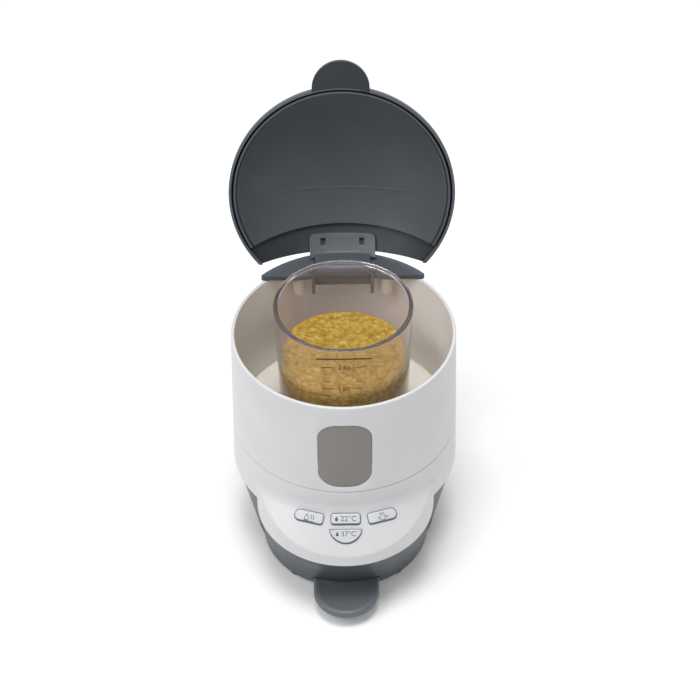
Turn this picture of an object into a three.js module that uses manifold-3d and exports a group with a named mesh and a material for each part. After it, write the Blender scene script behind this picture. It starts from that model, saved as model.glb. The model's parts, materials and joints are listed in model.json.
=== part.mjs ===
// A baby-bottle and food warmer: a round water chamber on a tapered base, a
// control lip with four keys at the front, a domed lid on a rear hinge, a
// pull-out drip tray and a graduated cup standing on the heating plate.
// Millimetres, +Z up, front towards -Y. The chamber axis is x = y = 0 while
// the parts are made; the finished group is moved so that the centre of its
// footprint box is the origin and it stands on z = 0.

import * as THREE from "three";
import { mergeVertices } from "three/addons/utils/BufferGeometryUtils.js";
import Module from "manifold-3d";

const wasm = await Module();
wasm.setup();

// ---- driving dimensions -------------------------------------------------
const SEGMENTS = 56; // sides of the large round parts
const SMALL = 12; // sides of screws, pins and posts
const GAP = 0.3; // clearance between neighbours

const RIM_Z = 138; // top of the chamber wall
const RIM_R = 60; // outer radius there
const DRAFT = 0.024; // growth of the outer radius per mm downwards
const BORE_R = 58; // chamber wall, inside, at the rim
const SEAM_Z = 77.5; // chamber shell above, fascia below
const FLOOR_Z = 75; // chamber floor
const SKIRT_Z = 50.8; // lower edge of the fascia
const WALL = 2.2;

const WINDOW = { width: 28.5, low: 81.4, high: 126, corner: 10.5 };

const LIP_R = 48.6; // control lip: a drum in front of the chamber
const LIP_Y = -33;
const LIP_LOW = 41.3;
const CREASE_Z = 64; // where the lip meets the chamber wall
const SLOPE = THREE.MathUtils.degToRad(38);

const BASE_TOP_R = 61;
const BASE_LOW_R = 51.2;
const BASE_LOW = 2.2;
const PLINTH_Z = 7.6;
const LOBE = { topR: 47.2, topY: -32.2, lowR: 46.4, lowY: -16 };

const TRAY_W = 31;
const HANDLE_R = 18;
const HANDLE_TIP = -89.5;
const HANDLE_ROOT = -62; // its straight rear edge, inside the base's slot
const HANDLE_TOP = 11.4;

const AXIS_Y = 44.4; // lid hinge
const AXIS_Z = 143.5;
const OPEN_ANGLE = THREE.MathUtils.degToRad(106.5);
const LID_R = 60.6;
const LID_Z = 139; // lid edge when the lid is shut
const LID_SKIRT = 3.5;
const DOME = 29.5; // rise of the dome above its skirt
const LID_WALL = 2;
const LID_BACK = 40; // the dome is cut off here, behind the chamber axis
const TAB_R = 15.2;
const LINER_EDGE = { radius: 300, front: 25.7 }; // the arc that ends the liner at the rear
const COLLAR_EDGE = { radius: 164, front: 43 }; // the arc along the front of the collar

const CUP_Y = 0.5;
const CUP_LOW = FLOOR_Z + GAP;
const CUP_TOP = 156;
const PUREE_TOP = 126;

// ---- materials ----------------------------------------------------------
const plastic = (color, roughness = 0.45) =>
  new THREE.MeshStandardMaterial({ color, roughness, metalness: 0 });
const metal = (color, roughness = 0.3) =>
  new THREE.MeshStandardMaterial({ color, roughness, metalness: 1 });

const WHITE = 0xe4e4e2;
const CREAM = 0xd9d3c4;
const SLATE = 0x4b5157;
const BLACK = 0x1b1c1e;
const KEY_GREY = 0xc9ced2;
const BOARD_GREEN = 0x2f5a3c;
const STEEL = 0xb9bcbf;

// ---- solid helpers ------------------------------------------------------
function signedVolume(position, index) {
  const [a, b, c] = [new THREE.Vector3(), new THREE.Vector3(), new THREE.Vector3()];
  let total = 0;
  for (let i = 0; i < index.length; i += 3) {
    a.fromBufferAttribute(position, index[i]);
    b.fromBufferAttribute(position, index[i + 1]);
    c.fromBufferAttribute(position, index[i + 2]);
    total += a.dot(b.cross(c)) / 6;
  }
  return total;
}

function solid(geometry) {
  const bare = geometry.clone();
  bare.deleteAttribute("normal");
  bare.deleteAttribute("uv");
  const merged = mergeVertices(bare, 1e-4);
  const source = merged.index.array;
  const kept = [];
  for (let i = 0; i < source.length; i += 3) {
    const [a, b, c] = [source[i], source[i + 1], source[i + 2]];
    if (a !== b && b !== c && c !== a) kept.push(a, b, c);
  }
  if (signedVolume(merged.attributes.position, kept) < 0) kept.reverse();
  return new wasm.Manifold(new wasm.Mesh({
    numProp: 3,
    vertProperties: new Float32Array(merged.attributes.position.array),
    triVerts: new Uint32Array(kept),
  }));
}

const union = (first, ...rest) => rest.reduce((whole, next) => whole.add(next), first);
const cut = (first, ...rest) => rest.reduce((whole, next) => whole.subtract(next), first);

// A closed loop of [radius, z] points turned about Z. Points on the axis are
// allowed only as the first and last ones.
function turned(profile, segments = SEGMENTS) {
  const points = profile.map(([r, z]) => new THREE.Vector2(r, z));
  const onAxis = profile[0][0] === 0 && profile.at(-1)[0] === 0;
  if (!onAxis) points.push(points[0].clone());
  return solid(new THREE.LatheGeometry(points, segments).rotateX(Math.PI / 2));
}

const disc = (radius, low, high, x = 0, y = 0, segments = SEGMENTS) =>
  turned([[0, low], [radius, low], [radius, high], [0, high]], segments).translate([x, y, 0]);

// a disc lying along X, from x0 to x1
const crossDisc = (radius, x0, x1, y, z, segments = SMALL) =>
  disc(radius, x0, x1, 0, 0, segments).rotate([0, 90, 0]).translate([0, y, z]);

const ring = (inner, outer, low, high, segments = SEGMENTS) =>
  turned([[inner, low], [outer, low], [outer, high], [inner, high]], segments);

function box(x0, x1, y0, y1, z0, z1) {
  const geometry = new THREE.BoxGeometry(x1 - x0, y1 - y0, z1 - z0);
  return solid(geometry.translate((x0 + x1) / 2, (y0 + y1) / 2, (z0 + z1) / 2));
}

function prism(shape, low, high, curveSegments = 8) {
  const options = { depth: high - low, bevelEnabled: false, curveSegments };
  return solid(new THREE.ExtrudeGeometry(shape, options).translate(0, 0, low));
}

function roundedRectangle(width, height, corner) {
  const [x, y] = [width / 2, height / 2];
  const shape = new THREE.Shape();
  shape.absarc(x - corner, y - corner, corner, 0, Math.PI / 2);
  shape.absarc(corner - x, y - corner, corner, Math.PI / 2, Math.PI);
  shape.absarc(corner - x, corner - y, corner, Math.PI, 1.5 * Math.PI);
  shape.absarc(x - corner, corner - y, corner, 1.5 * Math.PI, 2 * Math.PI);
  return shape;
}

// A frustum whose round ends are not one above the other.
function leaningDrum(low, lowR, lowY, high, highR, highY) {
  const height = high - low;
  const lean = (highY - lowY) / height;
  const geometry = new THREE.CylinderGeometry(highR, lowR, height, SEGMENTS);
  geometry.rotateX(Math.PI / 2).translate(0, 0, height / 2);
  const shear = new THREE.Matrix4().makeShear(0, 0, 0, 0, 0, lean);
  geometry.applyMatrix4(shear).translate(0, lowY, low);
  return solid(geometry);
}

// ---- scene graph --------------------------------------------------------
const model = new THREE.Group();

function add(name, shape, material, parent = model) {
  const { numProp, vertProperties, triVerts } = shape.getMesh();
  const geometry = new THREE.BufferGeometry();
  geometry.setAttribute("position", new THREE.BufferAttribute(vertProperties, numProp));
  geometry.setIndex(new THREE.BufferAttribute(triVerts, 1));
  geometry.computeVertexNormals();
  const mesh = new THREE.Mesh(geometry, material);
  mesh.name = name;
  parent.add(mesh);
  return mesh;
}

// ---- chamber shell and window -------------------------------------------
const wallRadius = (z) => RIM_R + (RIM_Z - z) * DRAFT;

// the window outline, standing in the XZ plane, as a prism along Y
function windowPrism(margin) {
  const { width, low, high, corner } = WINDOW;
  const outline = roundedRectangle(width + 2 * margin, high - low + 2 * margin, corner + margin);
  return prism(outline, 40, 80).rotate([90, 0, 0]).translate([0, 0, (low + high) / 2]);
}

function chamberShell() {
  const spigotR = wallRadius(SEAM_Z) - WALL - GAP;
  const spigotZ = FLOOR_Z + GAP;
  const wall = turned([
    [spigotR, spigotZ],
    [spigotR, SEAM_Z + 0.2],
    [wallRadius(SEAM_Z), SEAM_Z + 0.2],
    [RIM_R, RIM_Z - 0.6],
    [RIM_R - 0.6, RIM_Z],
    [BORE_R + 0.4, RIM_Z],
    [BORE_R, RIM_Z - 0.6],
    [BORE_R + 0.4, spigotZ],
  ]);
  return cut(wall, windowPrism(0));
}

function windowLens() {
  const inset = 0.2;
  const layer = turned([
    [BORE_R + 0.6, WINDOW.low - 5],
    [wallRadius(WINDOW.low - 5) - inset, WINDOW.low - 5],
    [wallRadius(WINDOW.high + 5) - inset, WINDOW.high + 5],
    [BORE_R + 0.3, WINDOW.high + 5],
  ]);
  return layer.intersect(windowPrism(-GAP));
}

add("chamber_shell", chamberShell(), plastic(WHITE, 0.4));
add("window_lens", windowLens(), plastic(0x8b8784, 0.12));

// ---- fascia with the control lip ----------------------------------------
// The lip's upper face is a cone about the chamber axis; `lift` moves it
// along its own normal.
function lipCone(lift, low = 0) {
  const farR = 110;
  const top = CREASE_Z + lift / Math.cos(SLOPE);
  const crest = wallRadius(CREASE_Z) - 20;
  return turned([
    [0, low],
    [farR, low],
    [farR, top - (farR - wallRadius(CREASE_Z)) * Math.tan(SLOPE)],
    [crest, top + 20 * Math.tan(SLOPE)],
    [0, top + 20 * Math.tan(SLOPE)],
  ]);
}

// The frame of the keys: its origin on the crease, +Z out of the sloping
// face, +Y up the slope.
const keyFrame = new THREE.Matrix4()
  .makeTranslation(0, -wallRadius(CREASE_Z), CREASE_Z)
  .multiply(new THREE.Matrix4().makeRotationX(SLOPE));

function inKeyFrame(shape) {
  return shape.transform(keyFrame.elements);
}

const KEY = { width: 15.6, depth: 5.9, corner: 1.4, proud: 1.5, skirt: 3.4 };
const MOON = { half: 8.6, depth: 7.4 }; // half the width of the lower key, and its depth

// the middle key, and the two outer ones with a full round outer end
function barOutline(margin, roundEnd) {
  const [x, y] = [KEY.width / 2 + margin, KEY.depth / 2 + margin];
  const corner = KEY.corner + margin;
  const right = roundEnd > 0 ? y : corner;
  const left = roundEnd < 0 ? y : corner;
  const shape = new THREE.Shape();
  shape.absarc(x - right, y - right, right, 0, Math.PI / 2);
  shape.absarc(left - x, y - left, left, Math.PI / 2, Math.PI);
  shape.absarc(left - x, left - y, left, Math.PI, 1.5 * Math.PI);
  shape.absarc(x - right, right - y, right, 1.5 * Math.PI, 2 * Math.PI);
  return shape;
}

// the lower key: a flat top and a round bottom
function moonOutline(margin) {
  const halfWidth = MOON.half + margin;
  const depth = MOON.depth + 2 * margin;
  const radius = (halfWidth ** 2 + depth ** 2) / (2 * depth);
  const half = Math.asin(halfWidth / radius);
  const shape = new THREE.Shape();
  const centreY = depth / 2 - depth + radius;
  shape.absarc(0, centreY, radius, -Math.PI / 2 - half, -Math.PI / 2 + half);
  shape.lineTo(-halfWidth, depth / 2);
  return shape;
}

const KEYS = [
  { name: "key_bottle", x: -19.6, down: 3, turn: -14, outline: (m) => barOutline(m, -1) },
  { name: "key_22", x: 0, down: 4.6, turn: 0, outline: (m) => barOutline(m, 0) },
  { name: "key_steam", x: 19.6, down: 3, turn: 14, outline: (m) => barOutline(m, 1) },
  { name: "key_37", x: 0, down: 13.9, turn: 0, outline: moonOutline },
];

function keyPrism(key, margin, low, high) {
  const body = prism(key.outline(margin), low, high, 4);
  return inKeyFrame(body.rotate([0, 0, key.turn]).translate([key.x, -key.down, 0]));
}

function frontFascia() {
  const top = SEAM_Z - 0.1;
  const ringWall = turned([
    [0, SKIRT_Z],
    [wallRadius(SKIRT_Z), SKIRT_Z],
    [wallRadius(top), top],
    [0, top],
  ]);
  const lip = disc(LIP_R, LIP_LOW, CREASE_Z + 20, 0, LIP_Y).intersect(lipCone(0));
  const inside = union(
    disc(wallRadius(SEAM_Z) - WALL, SKIRT_Z - 20, RIM_Z),
    disc(LIP_R - WALL, LIP_LOW - 5, CREASE_Z + 20, 0, LIP_Y).intersect(lipCone(-WALL)),
  );
  const behindLip = disc(BASE_TOP_R + GAP, 0, SKIRT_Z - GAP);
  const holes = KEYS.map((key) => keyPrism(key, GAP, -8, 8));
  return cut(union(ringWall, cut(lip, behindLip)), inside, ...holes);
}

add("front_fascia", frontFascia(), plastic(WHITE, 0.4));

const keyLayer = cut(lipCone(KEY.proud), lipCone(-KEY.skirt));
for (const key of KEYS) {
  const stem = disc(1.6, -6.6, -2.6, key.x, -key.down, SMALL);
  const cap = keyPrism(key, 0, -8, 8).intersect(keyLayer);
  add(key.name, union(cap, inKeyFrame(stem)), plastic(KEY_GREY, 0.35));
}

// ---- control board and its switches -------------------------------------
const BOARD_DEPTH = -11.6; // along the key frame's Z

function controlBoard() {
  return inKeyFrame(box(-25, 25, -20, 3, BOARD_DEPTH - 1.6, BOARD_DEPTH));
}

function keySwitch(key) {
  const body = box(-3, 3, -3, 3, 0.1, 3.1);
  const plunger = disc(1.5, 3, 3.7, 0, 0, SMALL);
  const placed = union(body, plunger).translate([key.x, -key.down, BOARD_DEPTH]);
  return inKeyFrame(placed);
}

add("control_board", controlBoard(), plastic(BOARD_GREEN, 0.6));
KEYS.forEach((key, i) => add(`key_switch_${i + 1}`, keySwitch(key), plastic(BLACK, 0.5)));

// ---- base housing -------------------------------------------------------
const TRAY_SLOT = { half: HANDLE_R + 0.4, top: HANDLE_TOP + 0.6 };
const COVER_SCREWS = [[-31.5, 32], [31.5, 32], [-31.5, -35], [31.5, -35]];
const INLET = { width: 22, height: 14, z: 30, back: 58.4, front: 44 };

function baseOuter(shrink) {
  const top = SKIRT_Z - GAP;
  const cone = turned([
    [0, BASE_LOW],
    [BASE_LOW_R - shrink, BASE_LOW],
    [BASE_LOW_R - shrink, PLINTH_Z],
    [BASE_LOW_R + 1 - shrink, PLINTH_Z + 0.6],
    [BASE_TOP_R - shrink, top],
    [0, top],
  ]);
  const lobeTop = LIP_LOW - GAP;
  const { topR, topY, lowR, lowY } = LOBE;
  const lobe = leaningDrum(BASE_LOW, lowR - shrink, lowY, lobeTop, topR - shrink, topY);
  return union(cone, lobe);
}

// a boss for a cover screw, held to the wall by a rib
function screwBoss(x, y) {
  const [middle, reach] = y > 0 ? [0, BASE_LOW_R] : [LOBE.lowY, LOBE.lowR];
  const length = reach - 1 - Math.hypot(x, y - middle);
  const angle = THREE.MathUtils.radToDeg(Math.atan2(y - middle, x));
  const rib = box(0, length, -1, 1, 4.8, 14).rotate([0, 0, angle]).translate([x, y, 0]);
  return union(disc(3.4, 4.8, 16, x, y, SMALL), rib);
}

function baseHousing() {
  const inside = baseOuter(WALL);
  const past = [-0.5, 0.5].map((z) => inside.translate([0, 0, z])); // opens both ends
  const hollow = cut(baseOuter(0), inside, ...past);
  const lipRoom = disc(LIP_R + GAP, LIP_LOW - GAP, SKIRT_Z + 5, 0, LIP_Y);
  const { half, top } = TRAY_SLOT;
  const slot = box(-half, half, -90, -30, 0, top);
  const inletHole = box(
    -INLET.width / 2 - GAP, INLET.width / 2 + GAP, 40, 70,
    INLET.z - INLET.height / 2 - GAP, INLET.z + INLET.height / 2 + GAP,
  );
  const bosses = COVER_SCREWS.map(([x, y]) => screwBoss(x, y));
  const bores = COVER_SCREWS.map(([x, y]) => disc(1.5, 4, 13, x, y, SMALL));
  return cut(union(hollow, ...bosses), lipRoom, slot, inletHole, ...bores);
}

add("base_housing", baseHousing(), plastic(SLATE, 0.5));

function bottomCover() {
  const plate = union(
    disc(BASE_LOW_R - WALL - GAP, BASE_LOW, 4.4),
    disc(LOBE.lowR - WALL - GAP, BASE_LOW, 4.4, 0, LOBE.lowY),
  );
  const holes = COVER_SCREWS.map(([x, y]) => disc(1.7, 0, 8, x, y, SMALL));
  const sinks = COVER_SCREWS.map(([x, y]) => disc(3.3, 0, 3.4, x, y, SMALL));
  const guides = [-1, 1].map((side) => {
    const middle = side * (TRAY_W / 2 + 1.3);
    return box(middle - 0.8, middle + 0.8, -50, 26, 4.2, 10);
  });
  return cut(union(plate, ...guides), ...holes, ...sinks);
}

add("bottom_cover", bottomCover(), plastic(SLATE, 0.6));

COVER_SCREWS.forEach(([x, y], i) => {
  const screw = union(disc(3, 2.3, 3.2, x, y, SMALL), disc(1.3, 3, 12, x, y, SMALL));
  const slot = box(x - 2, x + 2, y - 0.35, y + 0.35, 2, 2.8);
  add(`cover_screw_${i + 1}`, cut(screw, slot), metal(STEEL));
});

const FEET = [[-25, 38], [25, 38], [-26, -46], [26, -46]];
FEET.forEach(([x, y], i) => {
  const foot = turned([[0, 0], [5.2, 0], [6, 0.6], [6, BASE_LOW - 0.1], [0, BASE_LOW - 0.1]], 28);
  add(`foot_${i + 1}`, foot.translate([x, y, 0]), plastic(BLACK, 0.8));
});

// ---- mains inlet, power board and its large parts -----------------------
function powerInlet() {
  const { width, height, z, back, front } = INLET;
  const half = width / 2;
  const body = box(-half, half, front, back, z - height / 2, z + height / 2);
  const well = box(-half + 2, half - 2, front + 4, back + 5, z - height / 2 + 2, z + height / 2 - 2);
  const pins = [-4, 4].map((x) => {
    const pin = disc(1.2, 0, 9, x, 0, SMALL).rotate([-90, 0, 0]);
    return pin.translate([0, front + 3, z]);
  });
  return union(cut(body, well), ...pins);
}

add("power_inlet", powerInlet(), plastic(BLACK, 0.4));
add("power_board", box(-26, 26, -14, 32, 34, 35.6), plastic(BOARD_GREEN, 0.6));
add("relay", box(-20, -6, 4, 20, 35.9, 50), plastic(BLACK, 0.5));
add("capacitor", disc(6, 35.9, 52, 12, 14, SMALL), plastic(0x2c4a6b, 0.4));

// ---- chamber floor, plate, heater and sensors ---------------------------
function chamberFloor() {
  const edge = wallRadius(SEAM_Z) - WALL - GAP;
  return turned([
    [38, 70.8],
    [edge, 70.8],
    [edge, FLOOR_Z],
    [40.9, FLOOR_Z],
    [40.9, 72.4],
    [38, 72.4],
  ]);
}

add("chamber_floor", chamberFloor(), plastic(CREAM, 0.45));
add("plate_seal", ring(38.4, 40.5, 72.5, 73.4, 40), plastic(0xb5482f, 0.7));
add("heating_plate", disc(40.6, 73.5, FLOOR_Z), metal(STEEL, 0.35));

function heaterRing() {
  const profile = [];
  for (let i = 0; i < 8; i++) {
    const angle = (i / 8) * 2 * Math.PI;
    profile.push([27 + 3.2 * Math.cos(angle), 70.2 + 3.2 * Math.sin(angle)]);
  }
  return turned(profile, 32);
}

add("heater_ring", heaterRing(), metal(0x8f8d88, 0.5));
add("thermostat", union(disc(8, 66, 73.4, 0, 0, 28), disc(5, 62, 66.1, 0, 0, 28)), plastic(BLACK, 0.5));
add("thermal_fuse", crossDisc(2, -7, 7, 14, 71.2), plastic(CREAM, 0.5));
add("water_sensor", disc(2.5, 66, 73.4, 0, -14, SMALL), metal(STEEL));

// ---- drip tray ----------------------------------------------------------
function dripTray() {
  const root = HANDLE_TIP + HANDLE_R;
  const handle = new THREE.Shape();
  handle.moveTo(HANDLE_R, HANDLE_ROOT);
  handle.lineTo(-HANDLE_R, HANDLE_ROOT);
  handle.absarc(0, root, HANDLE_R, Math.PI, 2 * Math.PI);
  const half = TRAY_W / 2;
  const pan = cut(
    box(-half, half, -67.5, 20, 4.8, HANDLE_TOP),
    box(-half + 1.6, half - 1.6, -61, 18.4, 6.2, 14),
  );
  return union(pan, prism(handle, HANDLE_TOP - 4.2, HANDLE_TOP, 24));
}

add("drip_tray", dripTray(), plastic(SLATE, 0.5));

// ---- hinge collar, its posts and the pin --------------------------------
const EAR = { near: 15.7, far: 17.4, front: 40.6, back: 48.6, low: 129 };
const POST = { x: 24.8, y: 46.4, r: 4.1, low: 126 };

function hingeCollar() {
  const [low, high] = [RIM_Z + GAP, RIM_Z + 3.2];
  const { radius, front } = COLLAR_EDGE;
  const frontArc = disc(radius, low - 30, high + 5, 0, front - radius, 120);
  const plate = cut(disc(61.2, low, high - 0.8), frontArc);
  const crown = cut(disc(60.4, high - 1, high), frontArc);
  const notch = box(-EAR.near, EAR.near, 30, 54.5, low - 10, high + 5);
  const lidRoom = box(-80, 80, 0, LID_BACK + 0.7, low - 10, high + 5);
  const ears = [-1, 1].map((side) => {
    const x0 = side < 0 ? -EAR.far : EAR.near;
    const middle = (EAR.front + EAR.back) / 2;
    const leg = box(x0, x0 + 1.7, EAR.front, EAR.back, EAR.low, AXIS_Z);
    const eye = crossDisc(4, x0, x0 + 1.7, middle, AXIS_Z, 28);
    return union(leg, eye);
  });
  const bore = crossDisc(1.8, -30, 30, AXIS_Y, AXIS_Z);
  return cut(union(cut(union(plate, crown), notch, lidRoom), ...ears), bore);
}

add("hinge_collar", hingeCollar(), plastic(SLATE, 0.5));
["left", "right"].forEach((side, i) => {
  const x = (i === 0 ? -1 : 1) * POST.x;
  add(`collar_post_${side}`, disc(POST.r, POST.low, RIM_Z, x, POST.y, 28), plastic(CREAM, 0.45));
  const head = disc(2.3, POST.low - 1.6, POST.low - 0.1, x, POST.y, SMALL);
  add(`post_screw_${side}`, head, metal(0x6f6a62, 0.5));
});

add("hinge_pin", crossDisc(1.5, -18.6, 18.6, AXIS_Y, AXIS_Z), metal(STEEL));

// ---- lid ----------------------------------------------------------------
// Made shut, with z measured from the lid's edge and y from the chamber axis,
// then hung on the hinge and swung open.
const lid = new THREE.Group();
lid.position.set(0, AXIS_Y, AXIS_Z);
lid.rotation.x = -OPEN_ANGLE;
const shut = new THREE.Group();
shut.position.set(0, -AXIS_Y, LID_Z - AXIS_Z);
lid.add(shut);
model.add(lid);

const DOME_R = (LID_R ** 2 + DOME ** 2) / (2 * DOME);
const DOME_CENTRE = LID_SKIRT + DOME - DOME_R;

// points of the dome's section, `inset` below its outer face, from radius
// `edge` to the axis
function domeArc(inset, edge, steps = 7) {
  const radius = DOME_R - inset;
  const widest = Math.asin(edge / radius);
  const points = [];
  for (let i = 0; i <= steps; i++) {
    const angle = widest * (1 - i / steps);
    const r = i === steps ? 0 : radius * Math.sin(angle);
    points.push([r, DOME_CENTRE + radius * Math.cos(angle)]);
  }
  return points;
}

function domeLayer(outerInset, outerEdge, innerInset, innerEdge, rim) {
  const outer = turned([[0, 0], ...rim.outer, ...domeArc(outerInset, outerEdge)]);
  const inner = turned([[0, -1], ...rim.inner, ...domeArc(innerInset, innerEdge)]);
  return cut(outer, inner);
}

function lidShell() {
  const dome = domeLayer(0, LID_R, LID_WALL, LID_R - 1.5, {
    outer: [[LID_R - 0.4, 0], [LID_R, 0.4]],
    inner: [[LID_R - 1.4, -1]],
  });
  const tab = new THREE.Shape();
  tab.moveTo(TAB_R, -50);
  tab.lineTo(TAB_R, 1 - LID_R);
  tab.absarc(0, 1 - LID_R, TAB_R, 0, -Math.PI, true);
  tab.lineTo(-TAB_R, -50);
  const tongue = cut(prism(tab, 0, 2.4, 24), disc(LID_R - 1.3, -1, 5));
  return union(cut(dome, box(-80, 80, LID_BACK, 90, -1, 50)), tongue);
}

function lidLiner() {
  const dish = domeLayer(2.8, 57.6, 4, 56, {
    outer: [[57.6, 0], [58, 0.4], [58, 3]],
    inner: [[56.8, -1], [56.8, 1]],
  });
  const { radius, front } = LINER_EDGE;
  return cut(dish, disc(radius, -2, 60, 0, front + radius, 120));
}

// a leaf against the inside of the dome, a neck down to the hinge, a barrel
function hingeBracket() {
  const axisZ = AXIS_Z - LID_Z;
  const leafLayer = cut(
    turned([[0, 0], ...domeArc(2.3, 57)]),
    turned([[0, -1], ...domeArc(3.7, 56)]),
  );
  const leaf = leafLayer.intersect(box(-18, 18, 31, 42, 5, 40));
  const neckWidth = EAR.near - 0.5;
  const neck = box(-neckWidth, neckWidth, LID_BACK + 0.4, LID_BACK + 2.4, axisZ, 16.4);
  const barrel = crossDisc(4, -neckWidth, neckWidth, AXIS_Y, axisZ, 28);
  const bore = crossDisc(1.8, -30, 30, AXIS_Y, axisZ);
  const slots = [-10.7, 10.7].map((x) => box(x - 1.4, x + 1.4, 33.2, 36.6, 5, 40));
  return cut(union(leaf, neck, barrel), bore, ...slots);
}

add("lid_shell", lidShell(), plastic(SLATE, 0.45), shut);
add("lid_liner", lidLiner(), plastic(SLATE, 0.5), shut);
add("hinge_bracket", hingeBracket(), plastic(0x5c6167, 0.45), shut);

// ---- graduated cup and what is in it ------------------------------------
const cupOuter = (z) => 34.8 + (z - CUP_LOW) * 0.022;
const CUP_WALL = 1.7;

function cup() {
  const lipLow = CUP_TOP - 2.4;
  return turned([
    [0, CUP_LOW + 1],
    [cupOuter(CUP_LOW) - 3, CUP_LOW + 1],
    [cupOuter(CUP_LOW) - 3.6, CUP_LOW],
    [cupOuter(CUP_LOW) - 1, CUP_LOW],
    [cupOuter(CUP_LOW), CUP_LOW + 1.4],
    [cupOuter(lipLow), lipLow - 0.8],
    [37, lipLow],
    [37, CUP_TOP - 0.8],
    [36.2, CUP_TOP],
    [35.2, CUP_TOP],
    [cupOuter(CUP_TOP) - CUP_WALL - 0.4, CUP_TOP - 0.9],
    [cupOuter(CUP_LOW) - CUP_WALL, CUP_LOW + 4],
    [cupOuter(CUP_LOW) - CUP_WALL - 1.6, CUP_LOW + 2.6],
    [0, CUP_LOW + 2.6],
  ]).translate([0, CUP_Y, 0]);
}

function puree() {
  const low = CUP_LOW + 2.7;
  const radius = (z) => cupOuter(z) - CUP_WALL - 0.5;
  return turned([
    [0, low],
    [radius(CUP_LOW) - 1.8, low],
    [radius(CUP_LOW) - 0.1, low + 1.7],
    [radius(PUREE_TOP) - 0.1, PUREE_TOP - 1.5],
    [radius(PUREE_TOP) - 1.2, PUREE_TOP],
    [0, PUREE_TOP + 0.6],
  ]).translate([0, CUP_Y, 0]);
}

add("cup", cup(), plastic(0xcfcbd2, 0.08));
add("puree", puree(), plastic(0xa8842c, 0.5));

// ---- stand the group on its footprint centre ----------------------------
const group = new THREE.Group();
group.add(model);
group.updateMatrixWorld(true);
const bounds = new THREE.Box3().setFromObject(group, true);
const centre = bounds.getCenter(new THREE.Vector3());
model.position.set(-centre.x, -centre.y, -bounds.min.z);

export default group;
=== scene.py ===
import json
import math

import bmesh
import bpy
import numpy as np
from mathutils import Matrix, Vector

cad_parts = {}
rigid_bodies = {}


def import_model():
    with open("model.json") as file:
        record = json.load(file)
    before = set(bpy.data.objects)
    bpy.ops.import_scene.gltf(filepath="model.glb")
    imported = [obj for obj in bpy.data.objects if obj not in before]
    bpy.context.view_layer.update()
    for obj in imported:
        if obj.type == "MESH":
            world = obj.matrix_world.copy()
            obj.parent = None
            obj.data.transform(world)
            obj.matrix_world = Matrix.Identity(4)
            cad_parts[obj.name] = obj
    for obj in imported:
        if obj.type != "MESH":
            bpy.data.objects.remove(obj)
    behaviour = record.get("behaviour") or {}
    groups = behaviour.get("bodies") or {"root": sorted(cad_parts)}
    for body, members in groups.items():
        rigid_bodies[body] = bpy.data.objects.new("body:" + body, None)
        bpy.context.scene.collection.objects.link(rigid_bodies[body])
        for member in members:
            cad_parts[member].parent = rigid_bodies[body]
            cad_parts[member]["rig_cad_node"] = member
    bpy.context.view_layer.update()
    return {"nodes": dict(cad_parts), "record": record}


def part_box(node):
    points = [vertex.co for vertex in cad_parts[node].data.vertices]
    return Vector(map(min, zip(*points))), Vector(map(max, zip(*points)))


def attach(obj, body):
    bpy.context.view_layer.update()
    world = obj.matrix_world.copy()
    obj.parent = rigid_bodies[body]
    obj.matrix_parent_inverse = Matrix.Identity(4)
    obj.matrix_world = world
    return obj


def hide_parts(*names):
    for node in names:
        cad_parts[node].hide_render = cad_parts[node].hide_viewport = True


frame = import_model()

MM = 0.001
SIDES, FINE_SIDES = 192, 224  # sides of a turned piece, and of one seen close up
FIT = 0.3  # gap between two parts that meet


def node_box(name):
    """A node's lowest and highest corner in millimetres from the chamber axis."""
    low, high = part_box(name)
    return (np.array(low) - AXIS) / MM, (np.array(high) - AXIS) / MM


shell_low, shell_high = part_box("chamber_shell")
AXIS = np.array([0.0, (shell_low.y + shell_high.y) / 2, 0.0])

# ---- driving dimensions ----
RIM_Z = node_box("chamber_shell")[1][2]
RIM_R = 60.0
DRAFT = 0.024
BORE_R = 58.0
WALL = 2.2
SEAM_Z = 77.5
FLOOR_Z = node_box("chamber_floor")[1][2]
SKIRT_Z = 50.8
CREASE_Z = 64.0
LIP_R, LIP_Y, LIP_LOW = 48.6, -33.0, node_box("front_fascia")[0][2]
SLOPE = math.radians(38)
WINDOW = {"width": 28.5, "low": 81.4, "high": 126.0, "corner": 10.5}

BASE_TOP_R, BASE_LOW_R, BASE_LOW = 61.0, 51.2, node_box("base_housing")[0][2]
PLINTH_Z = 7.6
LOBE = {"top_r": 47.2, "top_y": -32.2, "low_r": 46.4, "low_y": -16.0}
INLET = {"width": 22.0, "height": 14.0, "z": 30.0, "back": 58.4, "front": 44.0}

TRAY_W = 31.0
HANDLE_R, HANDLE_TIP = 18.0, node_box("drip_tray")[0][1]
HANDLE_TOP = node_box("drip_tray")[1][2]
HANDLE_ROOT = -62.0

HINGE_Y, HINGE_Z = 44.4, 143.5
PIN_R, BARREL_R = 1.5, 4.0
OPEN_ANGLE = math.radians(106.5)
LID_R, LID_Z, LID_SKIRT, DOME, LID_BACK = 60.6, 139.0, 3.5, 29.5, 40.0
TAB_R = 15.2
LINER_EDGE = {"radius": 300.0, "front": 25.7}
COLLAR_EDGE = {"radius": 164.0, "front": 43.0}
COLLAR_R = 61.2
EAR = {"near": 15.7, "far": 17.4, "front": 40.6, "back": 48.6, "low": 129.0}
POST = {"x": 24.8, "y": 46.4, "r": 4.1, "low": 126.0}

CUP_Y, CUP_LOW, CUP_TOP, CUP_WALL = 0.5, node_box("cup")[0][2], node_box("cup")[1][2], 1.7
CUP_LIP_R = 37.0
PUREE_TOP = 126.0


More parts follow.
